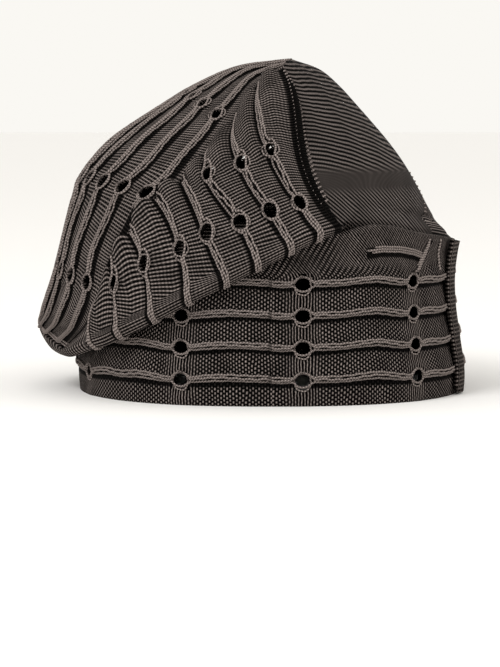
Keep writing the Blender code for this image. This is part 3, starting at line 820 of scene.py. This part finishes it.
wall_eyelets = [
    (float(np.interp(cord, flap_numbers, np.arange(len(flap_numbers)))), face_row(share))
    for cord, share in WALL_EYELETS
]
flap_grid = flattened(flap_grid, wall_eyelets)
flap_normals = -grid_normals(flap_grid)
flap_weave, flap_beside, flap_wide = strip_maps(
    flap_grid, flap_numbers, 0, LAST_CORD, FACE_FIRST_ROW
)
fanned = (np.array(flap_numbers) > LAST_CORD + CORD_STEP)[:, None]
flap_weave = np.where(fanned[..., None], flap_weave[..., ::-1] * np.array([1.0, 1.3]), flap_weave)
flap_cord = cord_map(np.abs(SHADOW_PLACE - flap_beside))
flap = cloth_piece(
    "crown_flap_cloth", flap_grid, flap_weave, flap_cord, wall_eyelets, CROWN_CLOTH, turned=True
)
flap.data.materials.append(openwork("flap openwork", 1.30, 1.44, 0.95))
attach(flap, "root")
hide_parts("crown_flap")


def wall_cords(points, normals, name):
    """The cords and eyelet rims of a folded wall, as two pieces."""
    paths = []
    rows = np.linspace(FACE_FIRST_ROW - 17, points.shape[1] - 1, 110)
    for cord in range(1, LAST_CORD + 1):
        holes = [face_row(share) for number, share in WALL_EYELETS if number == cord]
        for strand in range(3):
            path = cord_path(points, normals, flap_wide, flap_numbers, cord, rows, holes, strand)
            paths.append((path, False))
    cords = thread(paths, WALL_STRAND, name + "_cords")
    rims = eyelet_rims(points, normals, wall_eyelets, name + "_eyelet_rims")
    dress_threads([cords, rims])


wall_cords(flap_grid, flap_normals, "flap")


def seam_stitches(first, second, rows, out, reach, name):
    """Short stitches across a seam, each a thread from one edge to the other if within reach.

    first and second are a grid and the column in it where the stitches enter. out is the way
    in which they arch.
    """
    paths = []
    for row in rows:
        start, end = [grid_sample(cloth, np.array(column), row) for cloth, column in (first, second)]
        if np.linalg.norm(end - start) > reach:
            continue
        share = np.linspace(0, 1, 7)[:, None]
        lift = np.array(out) * (0.55 * np.sin(np.pi * share))
        paths.append((start + (end - start) * share + lift + np.array(out) * STRAND_LIFT, False))
    dress_threads([thread(paths, FINE_STRAND, name)])


# Crown side and back: the plain finely ribbed panel that rises out of the band at the right,
# and the openwork back, folded over the band as the flap is and seamed to the panel's far edge.
RISING_WALL = (
    (0.0, 28.0, 0.95, 10.05, 5.0, 1.0, 2.0, -8.2, 0.8),
    (0.3, 39.0, 0.2, 10.13, 5.6, 1.1, 2.6, -4.6, 0.4),
    (1.0, 62.0, 0.0, 10.3, 6.4, 1.3, 4.0, -1.0, 0.0),
    (2.0, 100.0, 0.0, 10.55, 7.4, 1.5, 4.0, 0.0, 0.0),
    (3.0, 135.0, 0.0, 10.8, 7.6, 1.6, 4.0, 0.0, 0.0),
    (4.0, 170.0, 0.0, 11.1, 7.6, 1.6, 4.0, 0.0, 0.0),
    (5.0, 215.0, 0.1, 11.5, 7.4, 1.4, 3.6, 0.0, 0.0),
    (6.0, 250.0, 0.6, 11.8, 6.2, 1.1, 2.8, -3.0, 0.0),
    (7.0, 278.0, 1.0, 12.02, 5.0, 1.0, 2.0, -7.0, 0.2),
)
SIDE_SEAM_LINE = ((0.0, 1.75), (0.14, 2.55), (0.3, 3.15), (0.57, 3.6), (0.79, 3.75), (1.0, 3.8))
RIB_PITCH = 1.62
# Painted shade: the near-black colour of the grooves between the ribs; the smooth cloth is mixed mostly
# from it and a little of the light rib colour.
RIB_GROOVE_SHADE = (0.0010, 0.0009, 0.0009, 1)
RIB_LIGHT = (0.175, 0.148, 0.137, 1)
RISING_TURN = ((-4.9, 2.0), (-5.4, 2.8), (-6.0, 3.5), (-6.7, 4.2), (-7.5, 4.9), (-8.3, 5.6))


def rising_point(number, row):
    """A point of the crown wall that rises out of the band at the right, by row of its line."""
    place, lap, edge, bulge, skew, square, *sways = follow(RISING_WALL, number)
    lap = min(max(lap, 0), 1)
    top = band_top(place)
    if row < 2:
        return band_point(place, -TUCK_INSET, top + (-TUCK_DEPTH, 0.8)[row])
    turn = min(row, 7) - 2
    inner, outer = np.array(RISING_TURN[turn]), np.array(LEVEL_TURN[turn])
    reach, up = inner + (outer - inner) * lap
    point = band_point(place, reach, top + up)
    if row < 8:
        return point
    end = shy_of(top_arch_share(APEX, (edge - APEX) / 2), point, SEAM_GAP / 2)
    end[2] += 2.4 * max(1 - number / 3.2, 0)
    share = FACE_SHARES[row - 8]
    return face_point(point, end, share, bulge, skew, square, sways, on_ring(place)[2:])


def rising_line(first, seam_gap, share):
    """Points up the rising wall, at a share of the way from its first line to the side seam."""
    line = []
    for row in range(8 + len(FACE_SHARES)):
        height = FACE_SHARES[row - 8] if row >= 8 else 0.0
        seam = follow(SIDE_SEAM_LINE, height)[0] + seam_gap
        line.append(rising_point(first + (seam - first) * share, row))
    return np.array(line)


def ribbed(name):
    """Plain cloth with fine beaded ribs across it and painted shade in the grooves between them, fading
    to smooth cloth by the ridge.
    """
    made, shader, (across, up, ribs_show, _) = finish_start(name)
    cloudy = clouds(across, 0.045, 2.0)
    rib = ((up + (cloudy - 0.5) * 1.6) / RIB_PITCH % 1.0 - 0.5).size()
    rib = 1 - rib.ease(0.08, 0.34)
    bead = (across / 1.1 + (up / RIB_PITCH).floor() * 0.5) % 1.0
    bead = 1 - (bead - 0.5).size().ease(0.2, 0.5) * 0.45
    faded = ribs_show.ease(0.0, 1.0)
    web = rib * bead * faded
    base = (1 - faded) * 0.17
    tone = ((web * 0.95 + base) * (0.6 + cloudy * 0.8)).least(1.0)
    colour = tone.blend(RIB_GROOVE_SHADE, RIB_LIGHT)
    return finish_end(made, shader, colour, 0.82 - web * 0.1, web, 0.4)


side_shares = np.linspace(0, 1, 91)
side_grid = np.array([smooth_line(rising_line(0.0, 0.0, share**1.2)) for share in side_shares])
# The panel's front edge is tucked in under the flap's.
tucked = flap_grid[1] - flap_normals[1] * 2.3 - side_grid[0]
tucked *= np.clip((np.arange(len(tucked)) - FACE_FIRST_ROW + 4) / 5, 0, 1)[:, None]
side_grid += np.clip(1 - np.arange(len(side_grid)) / 16, 0, 1)[:, None, None] ** 2 * tucked
side_across = np.repeat(side_shares[:, None] * 125.0, side_grid.shape[1], axis=1)
side_rise = side_grid[:, :, 2]
# Its ribs slope with the cloth and fade to smooth cloth by the far seam and across the middle.
smooth_by_edge = np.clip((1.0 - side_shares) / 0.22, 0, 1)[:, None]
side_fade = smooth_by_edge * np.clip(np.abs(side_rise - 91.0) / 5.0 - 0.4, 0.12, 1)
side_slope = 0.62 * np.clip((94.0 - side_rise) / 6.0, 0, 1) + 0.10
side_x = side_grid[:, :, 0]
side_bend = side_slope * (side_x - 30.0) + 0.006 * np.maximum(side_x - 15.0, 0) ** 2
side_weave = np.stack([side_across, side_rise + side_bend], axis=2)
side = cloth_piece("crown_side_cloth", side_grid, side_weave, cord_map(side_fade), [], CROWN_CLOTH)
side.data.materials.append(ribbed("plain ribs"))
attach(side, "root")
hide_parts("crown_side")

seam_rows = np.linspace(FACE_FIRST_ROW - 8, side_grid.shape[1] - 3, 46)
seam_stitches(
    (flap_grid, 1.0), (side_grid, 3.6), seam_rows[10:], (0.25, -0.95, 0.2), 9.0,
    "front_seam_stitches",
)

back_numbers = flap_numbers[::-1]
# The back is the flap's mirror image as far as the ridge, and then goes round to the side seam.
MIRRORED = np.array([1.0, -1.0, 1.0])
back_lapped = flap_grid[::-1] * MIRRORED
rising_shares = np.linspace(0, 1, 131)[1:]
back_rising = [smooth_line(rising_line(7.0, 0.035, share)) for share in rising_shares]
back_grid = np.concatenate([back_lapped, np.array(back_rising)])
back_count = list(back_numbers) + list(-rising_shares * 11.0)
back_weave, back_beside, _ = strip_maps(back_grid, back_count, -11, LAST_CORD, FACE_FIRST_ROW)
back_shadow = np.abs(SHADOW_PLACE - back_beside)
back_shadow[len(back_numbers) :] = BESIDE_NONE
top_column = len(flap_numbers) - 1
back_eyelets = [(top_column - column, row) for column, row in wall_eyelets]
back_cord = cord_map(back_shadow)
back = cloth_piece(
    "crown_back_cloth", back_grid, back_weave, back_cord, back_eyelets, CROWN_CLOTH, turned=True
)
back.data.materials.append(openwork("back openwork", 1.30, 1.44, 0.95))
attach(back, "root")
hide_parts("crown_back")
last_back, last_side = back_grid.shape[0] - 1.5, side_grid.shape[0] - 1.8
seam_stitches(
    (side_grid, last_side), (back_grid, last_back), seam_rows[7:17], (0.12, -0.3, 0.1), 6.0,
    "back_seam_stitches",
)
wall_cords(flap_grid * MIRRORED, flap_normals * MIRRORED, "back")

# Crown top: the oval end of the crown, of the same strips and cords, arched from the front
# crease over to the back one and seamed to the flap, the side panel and the back all round.
TOP_FIRST_CORD = ((0.0, -8.0), (2.0, -4.0), (5.0, 5.4), (8.0, 11.0), (10.0, 13.0))
TOP_INSET = ((0.0, 0.7), (1.0, 0.5), (2.0, 0.4), (10.0, 0.4))
TOP_EYELET_STATIONS = (2.25, 5.0, 7.8)
TOP_LEAST_STRIP, TOP_RECESS, TOP_SLOPE_END = 4.0, -1.2, 0.88
TOP_FIRST_ROW, TOP_LAST_ROW = 0.03, 9.97
top_cords = 17
top_steps = (0.0, 0.06, 0.14, 0.24, 0.35, 0.46, 0.57, 0.68, 0.78, 0.84, 0.88, 0.92, 0.96)
top_numbers = [cord + step for cord in range(-1, top_cords) for step in top_steps]
top_stations = np.linspace(TOP_FIRST_ROW, TOP_LAST_ROW, 131)
top_lines, top_runs, top_totals = [], [], []
for station in top_stations:
    points, runs = top_arch(station)
    inset = follow(TOP_INSET, station)[0]
    first = follow(TOP_FIRST_CORD, station)[0]
    run = first + CORD_PITCH * np.array(top_numbers)
    run = (run + np.hypot(run, TOP_LEAST_STRIP)) / 2
    rest = runs[-1] - run
    run = runs[-1] - (rest + np.hypot(rest, TOP_LEAST_STRIP)) / 2
    run = np.clip(inset + run * (runs[-1] - 2 * inset) / runs[-1], inset, runs[-1] - inset)
    run = np.maximum.accumulate(run + np.arange(len(run)) * 1e-4)
    top_lines.append(np.stack([np.interp(run, runs, points[:, axis]) for axis in range(3)], axis=1))
    top_runs.append(run)
    top_totals.append(runs[-1])
top_grid = np.array(top_lines).transpose(1, 0, 2)
top_runs = np.array(top_runs).T
top_totals = np.array(top_totals)
top_normals = -grid_normals(top_grid)
part = np.array(top_numbers) % 1.0
climb = np.where(part > TOP_SLOPE_END, (1 - part) / 0.12, part / TOP_SLOPE_END)
recess = np.where(part < 1e-6, 0.0, climb)
edge_ease = np.clip(np.minimum(top_runs, top_totals - top_runs) / CORD_PITCH, 0, 1)
top_grid = top_grid + top_normals * (recess[:, None] * edge_ease * TOP_RECESS)[..., None]
top_eyelets = []
for station in TOP_EYELET_STATIONS:
    row = float(np.interp(station, top_stations, np.arange(len(top_stations))))
    total = top_arch(station)[1][-1]
    for cord in range(top_cords):
        run = follow(TOP_FIRST_CORD, station)[0] + CORD_PITCH * cord
        if 5.0 < run < total - 5.0:
            top_eyelets.append((float(top_numbers.index(cord)), row))
top_grid = flattened(top_grid, top_eyelets)
top_weave, top_beside, top_wide = strip_maps(top_grid, top_numbers, 0, top_cords)
top_cord = cord_map(np.abs(top_beside + SHADOW_PLACE))
top = cloth_piece(
    "crown_top_cloth", top_grid, top_weave, top_cord, top_eyelets, CROWN_CLOTH, turned=True
)
top.data.materials.append(openwork("top openwork", 1.30, 1.40, 0.85))
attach(top, "root")
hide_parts("crown_top")
paths = []
for cord in range(top_cords):
    column = float(top_numbers.index(cord))
    inner = (top_runs[int(column)] > 4.5) & (top_runs[int(column)] < top_totals - 4.5)
    span = np.flatnonzero(inner)
    if len(span) < 12:
        continue
    rows = np.linspace(span[0], span[-1], 130)
    holes = [row for at, row in top_eyelets if at == column]
    for strand in range(3):
        path = cord_path(top_grid, top_normals, top_wide, top_numbers, cord, rows, holes, strand)
        paths.append((path, False))
for row in (0.4, 1.7):
    columns = np.linspace(0, len(top_numbers) - 1, 260)
    rows = np.full(len(columns), row)
    lift = grid_sample(top_normals, columns, rows) * 0.3
    paths.append((grid_sample(top_grid, columns, rows) + lift, False))
cords = thread(paths, FINE_STRAND, "top_cords")
rims = eyelet_rims(top_grid, top_normals, top_eyelets, "top_eyelet_rims")
dress_threads([cords, rims])

# Painted shade: a thin dark sheet close inside the crown, seen only through the eyelets, stands
# in for the shade inside the cap. The photo shows them black; its cut is a guess.
SHADE_SHEET_INSET, SHADE_SHEET_CLOTH = 5.0, 0.6
shade_sheet_grid = (top_grid - top_normals * SHADE_SHEET_INSET)[::6, ::6]
shade_sheet_maps = np.zeros(shade_sheet_grid.shape[:2] + (2,))
shade_sheet = cloth_piece(
    "crown_shade_sheet", shade_sheet_grid, shade_sheet_maps, shade_sheet_maps, [], SHADE_SHEET_CLOTH, turned=True
)


def plain_finish(name, colour, roughness, gloss):
    """A finish of one colour."""
    made = bpy.data.materials.new(name)
    made.use_nodes = True
    shader = made.node_tree.nodes["Principled BSDF"]
    shader.inputs["Base Color"].default_value = colour
    shader.inputs["Roughness"].default_value = roughness
    shader.inputs["Specular IOR Level"].default_value = gloss
    return made


# Painted shade: the sheet is near black, as the shade inside the cap.
shade_sheet.data.materials.append(
    plain_finish("painted shade sheet", (0.004, 0.0036, 0.0036, 1), 0.95, CLOTH_GLOSS)
)
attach(shade_sheet, "root")

# Floor, light and camera: a pale floor, a large soft lamp above and a weaker one beside.
bpy.ops.object.select_all(action="DESELECT")
bpy.ops.mesh.primitive_circle_add(vertices=64, radius=9.0, fill_type="NGON")
floor = bpy.context.object
floor.name = "floor"
floor.data.materials.append(plain_finish("pale floor", (0.965, 0.955, 0.945, 1), 0.9, 0.5))
world = bpy.data.worlds.new("soft room")
world.use_nodes = True
world.node_tree.nodes["Background"].inputs["Color"].default_value = (0.956, 0.938, 0.896, 1)
world.node_tree.nodes["Background"].inputs["Strength"].default_value = 1.0
bpy.context.scene.world = world
bpy.context.scene.view_settings.view_transform = "Standard"
for name, spot, energy, size in (
    ("key", (-0.9, -1.3, 1.5), 17.0, 0.7),
    ("side", (1.6, -0.6, 0.9), 2.0, 1.0),
):
    lamp = bpy.data.lights.new(name, "AREA")
    lamp.energy = energy
    lamp.size = size
    holder = bpy.data.objects.new(name, lamp)
    holder.location = spot
    aim = Vector((0, 0, 0.07)) - Vector(spot)
    holder.rotation_euler = aim.to_track_quat("-Z", "Y").to_euler()
    bpy.context.scene.collection.objects.link(holder)
camera = bpy.data.objects.new("camera", bpy.data.cameras.new("camera"))
camera.data.lens = 185.7
camera.data.sensor_width = 36
camera.location = (0.0001, -1.4945, 0.128)
aim = Vector((0.0001, 0, 0.0223)) - camera.location
camera.rotation_euler = aim.to_track_quat("-Z", "Y").to_euler()
camera.data.clip_start = 0.05
camera.data.clip_end = 50
bpy.context.scene.collection.objects.link(camera)
bpy.context.scene.camera = camera
